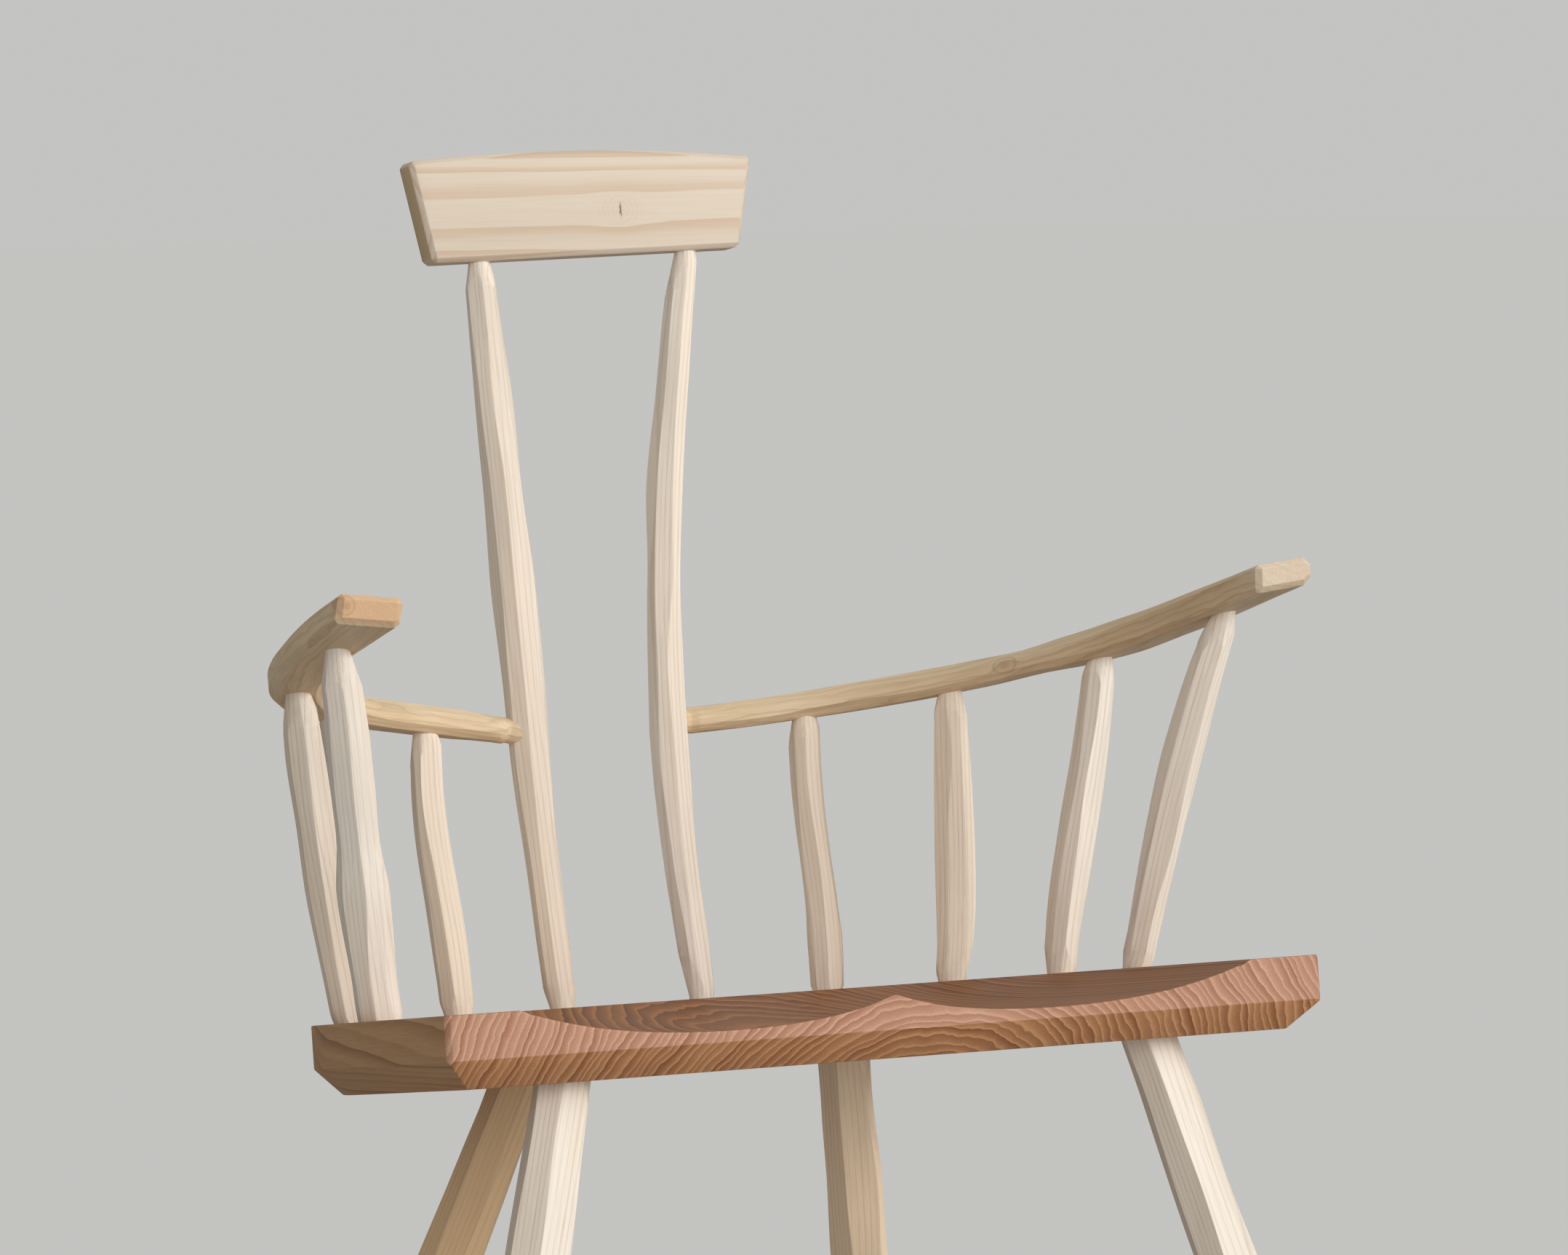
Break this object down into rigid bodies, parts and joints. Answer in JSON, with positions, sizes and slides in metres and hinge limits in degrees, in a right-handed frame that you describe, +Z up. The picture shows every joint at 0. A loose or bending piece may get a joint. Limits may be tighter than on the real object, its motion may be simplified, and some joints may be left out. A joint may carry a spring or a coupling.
{
  "type": "stick chair",
  "caption": "Low-backed stick armchair: a saddled plank seat on raked whittled legs, with bent arms on sticks and a short crest rail on back posts.",
  "frame": {"origin": "on the floor, under the middle of the chair", "axes": "+Z up, the chair's front faces -Y, +X to the right as seen from the front"},
  "size_m": [0.65, 0.5235, 0.9256],
  "materials": {
    "seat_wood": "hand-planed softwood, bare and matte, with strong growth rings",
    "stick_wood": "drawknifed pale hardwood, bare and matte",
    "arm_wood": "whittled natural crook, bare and matte",
    "crest_wood": "planed pale board with a small knot, bare and matte",
    "wedge_wood": "split hardwood, pared flush"
  },
  "bodies": {
    "root": {"crest_rail": "crest_wood", "front_left_leg": "stick_wood", "front_right_leg": "stick_wood", "left_arm": "arm_wood", "left_arm_stick_1": "stick_wood", "left_arm_stick_1_wedge": "wedge_wood", "left_arm_stick_2": "stick_wood", "left_arm_stick_2_wedge": "wedge_wood", "left_arm_stick_3": "stick_wood", "left_arm_stick_3_wedge": "wedge_wood", "left_arm_stick_4": "stick_wood", "left_arm_stick_4_wedge": "wedge_wood", "left_back_post": "stick_wood", "rear_left_leg": "stick_wood", "rear_right_leg": "stick_wood", "right_arm": "arm_wood", "right_arm_stick_1": "stick_wood", "right_arm_stick_1_wedge": "wedge_wood", "right_arm_stick_2": "stick_wood", "right_arm_stick_2_wedge": "wedge_wood", "right_arm_stick_3": "stick_wood", "right_arm_stick_3_wedge": "wedge_wood", "right_arm_stick_4": "stick_wood", "right_arm_stick_4_wedge": "wedge_wood", "right_back_post": "stick_wood", "seat": "seat_wood"}
  },
  "joints": []
}
